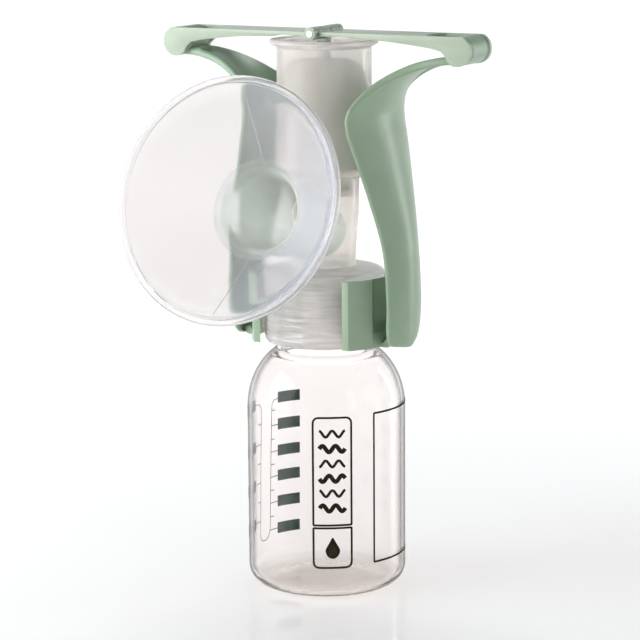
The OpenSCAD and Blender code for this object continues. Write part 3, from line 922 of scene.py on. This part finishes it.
def make_handle():
    """The right handle: blade, barrel at its top and knuckle at its foot, bored for both pins."""
    blade = loft("right_handle_blade", [handle_ring(i) for i in range(LAST_STEP + 1)])
    combine(blade, make_barrel(), "UNION")
    knuckle = y_bar(BASE_X, BASE_Z, KNUCKLE_R, 3.8)
    web_outline = [(BASE_X, BASE_Z - 1), (30.9, BASE_Z - 1), (30.9, BASE_Z + 1), (BASE_X, BASE_Z + 1)]
    combine(knuckle, extrude("web", web_outline, -3.7, 3.7), "UNION")
    combine(blade, knuckle, "UNION")
    combine(blade, y_bar(OUTER_X, OUTER_Z, OUTER_BORE_R, 10), "DIFFERENCE")
    combine(blade, y_bar(BASE_X, BASE_Z, BASE_BORE_R, 10, 32), "DIFFERENCE")
    smooth(blade, HANDLE_SHARP)
    return blade


right_handle = make_handle()
left_handle = mirrored(right_handle, "left_handle_blade")
finish_piece(right_handle, "right_handle", green, "green_plastic", "right_handle")
finish_piece(left_handle, "left_handle", green, "green_plastic", "left_handle")


# ---- arms and clasps ----

CLASP_R = 25.6
POCKET_R = 24.3
POCKET_FOOT, POCKET_TOP = 92.4, 112
ARM_EDGE, CLASP_EDGE = 0.3, 0.45


def carve_pocket(clasp, side):
    """Hollows the clasp's wall behind the handle, from above the hinge up through its top edge."""
    ring = arc(0, 0, CLASP_R + 1, CLASP_R + 1, -24, 24, 16) + arc(0, 0, POCKET_R, POCKET_R, 21, -21, 16)
    cutter = extrude("pocket", [(side * x, y) for x, y in ring], POCKET_FOOT, POCKET_TOP, "z")
    combine(clasp, cutter, "DIFFERENCE")


for side, sign in (("left", -1), ("right", 1)):
    arm = from_node(f"{side}_arm", f"{side}_arm_shell", ARM_EDGE)
    # The arm takes the lighter green, which is painted light.
    finish_piece(arm, f"{side}_arm", lit_arm_green, "green_plastic", f"{side}_arm")
    clasp = from_node(f"{side}_clasp", f"{side}_clasp_shell", CLASP_EDGE)
    clasp.data.materials.append(green)
    carve_pocket(clasp, sign)
    smooth(clasp, NODE_SHARP)
    finish_piece(clasp, "pump_body", green, "green_plastic", f"{side}_clasp")


# ---- CAD nodes that stay as they are, with their own materials ----

KEPT = {
    white: ("centre_pin", "left_outer_pin", "right_outer_pin"),
    green: ("left_base_pin", "right_base_pin"),
    rubber: ("cylinder_seal", "piston_seal", "valve"),
    cup_green: ("piston_rod",),
}
for material, names in KEPT.items():
    for name in names:
        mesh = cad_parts[name].data
        mesh.materials.clear()
        mesh.materials.append(material)


# ---- studio; its lengths are metres ----

CAMERA_PLACE = Vector((0.4252, -0.7729, 0.26045))
CAMERA_TURN = 28.947
CAMERA_PITCH = 10.736
CAMERA_ROLL = -0.409
SENSOR_MM = 36
LENS_MM = 145.5935625
AIM = Vector((0, 0, 0.12))

# name: azimuth, height, distance, width, height of the panel, watts
LAMPS = {
    "key": (-75, 0.40, 0.95, 0.85, 0.75, 12),
    "rim": (114, 0.30, 0.95, 0.16, 0.60, 2.2),
    "fill": (38, 0.40, 1.20, 0.28, 0.60, 1.5),
    "back": (180, 1.15, 0.75, 1.00, 0.40, 8),
}
SKY = [
    (0.0, (0.98, 0.98, 0.98)), (0.16, (0.90, 0.90, 0.91)), (0.34, (0.30, 0.31, 0.32)),
    (1.0, (0.10, 0.105, 0.11))]
# The floor's glow near the object and far off, and the distances in metres over which it rises: the low glow
# near the object is painted shade round its foot.
SHADED_NEAR_GLOW, FAR_GLOW = 0.08, 0.40
GLOW_FROM, GLOW_TO = 0.03, 0.9
FLOOR_HALF_MM = 6000
FLOOR_FOOT_MM, FLOOR_TOP_MM = -20, -0.05


def make_camera():
    """The camera at the photograph's viewing angle."""
    turn, pitch, roll = radians(CAMERA_TURN), radians(CAMERA_PITCH), radians(CAMERA_ROLL)
    forward = Vector((-sin(turn) * cos(pitch), cos(turn) * cos(pitch), -sin(pitch)))
    right = Vector((cos(turn), sin(turn), 0))
    up = right.cross(forward)
    tilted_right = right * cos(roll) + up * sin(roll)
    tilted_up = up * cos(roll) - right * sin(roll)
    basis = Matrix((tilted_right, tilted_up, -forward)).transposed()
    data = bpy.data.cameras.new("camera")
    data.sensor_width = SENSOR_MM
    data.lens = LENS_MM
    data.clip_start = 0.01
    camera = bpy.data.objects.new("camera", data)
    camera.matrix_world = Matrix.Translation(CAMERA_PLACE) @ basis.to_4x4()
    bpy.context.scene.collection.objects.link(camera)
    bpy.context.scene.camera = camera


def softbox(name, azimuth, height, distance, wide, tall, watts):
    """A light panel that faces AIM; azimuth turns it to the right, round the object, from the camera's side."""
    away = radians(CAMERA_TURN + azimuth - 90)
    place = Vector((cos(away) * distance, sin(away) * distance, height))
    data = bpy.data.lights.new(name, "AREA")
    data.shape = "RECTANGLE"
    data.size, data.size_y = wide, tall
    data.energy = watts
    light = bpy.data.objects.new(name, data)
    facing = (place - AIM).to_track_quat("Z", "Y")
    light.matrix_world = Matrix.Translation(place) @ facing.to_matrix().to_4x4()
    light.visible_camera = False
    light.visible_transmission = False
    bpy.context.scene.collection.objects.link(light)


def make_world():
    """Bright at the horizon and dimmer overhead, like a white studio under a dark ceiling."""
    world = bpy.data.worlds.new("studio")
    world.use_nodes = True
    tree = world.node_tree
    sky = tree.nodes["Background"]
    where = tree.nodes.new("ShaderNodeTexCoord")
    parts = tree.nodes.new("ShaderNodeSeparateXYZ")
    tree.links.new(where.outputs["Generated"], parts.inputs[0])
    tree.links.new(ramp(tree, parts.outputs["Z"], SKY), sky.inputs["Color"])
    sky.inputs["Strength"].default_value = 1.0
    bpy.context.scene.world = world


def make_floor():
    """A plain white table top with a faint gloss; its glow drops towards the object, as painted shade round its
    foot.
    """
    half = FLOOR_HALF_MM
    outline = [(-half, -half), (half, -half), (half, half), (-half, half)]
    floor = extrude("floor", outline, FLOOR_FOOT_MM, FLOOR_TOP_MM, "z")
    material, tree, shader, _ = new_material("table_top")
    tone = ramp(tree, noise(tree, 400, 2), [(0.3, grey(0.90)), (0.7, grey(0.92))])
    tree.links.new(tone, shader.inputs["Base Color"])
    shader.inputs["Roughness"].default_value = 0.05
    shader.inputs["IOR"].default_value = 1.42
    reach = tree.nodes.new("ShaderNodeVectorMath")
    reach.operation = "LENGTH"
    tree.links.new(object_place(tree), reach.inputs[0])
    # Painted shade: the glow is lowest at the object and rises outwards.
    glow = ramp(tree, reach.outputs["Value"], [(GLOW_FROM, grey(SHADED_NEAR_GLOW)), (GLOW_TO, grey(FAR_GLOW))])
    tree.links.new(glow, shader.inputs["Emission Color"])
    shader.inputs["Emission Strength"].default_value = 1.0
    floor.data.materials.append(material)


make_camera()
make_world()
make_floor()
for name, settings in LAMPS.items():
    softbox(name, *settings)

scene = bpy.context.scene
scene.view_settings.view_transform = "Standard"
scene.view_settings.look = "None"
scene.cycles.max_bounces = 32
scene.cycles.transmission_bounces = 32
scene.cycles.glossy_bounces = 12
scene.cycles.diffuse_bounces = 6
scene.cycles.transparent_max_bounces = 24
scene.cycles.caustics_refractive = False
scene.cycles.caustics_reflective = False

bpy.context.view_layer.update()
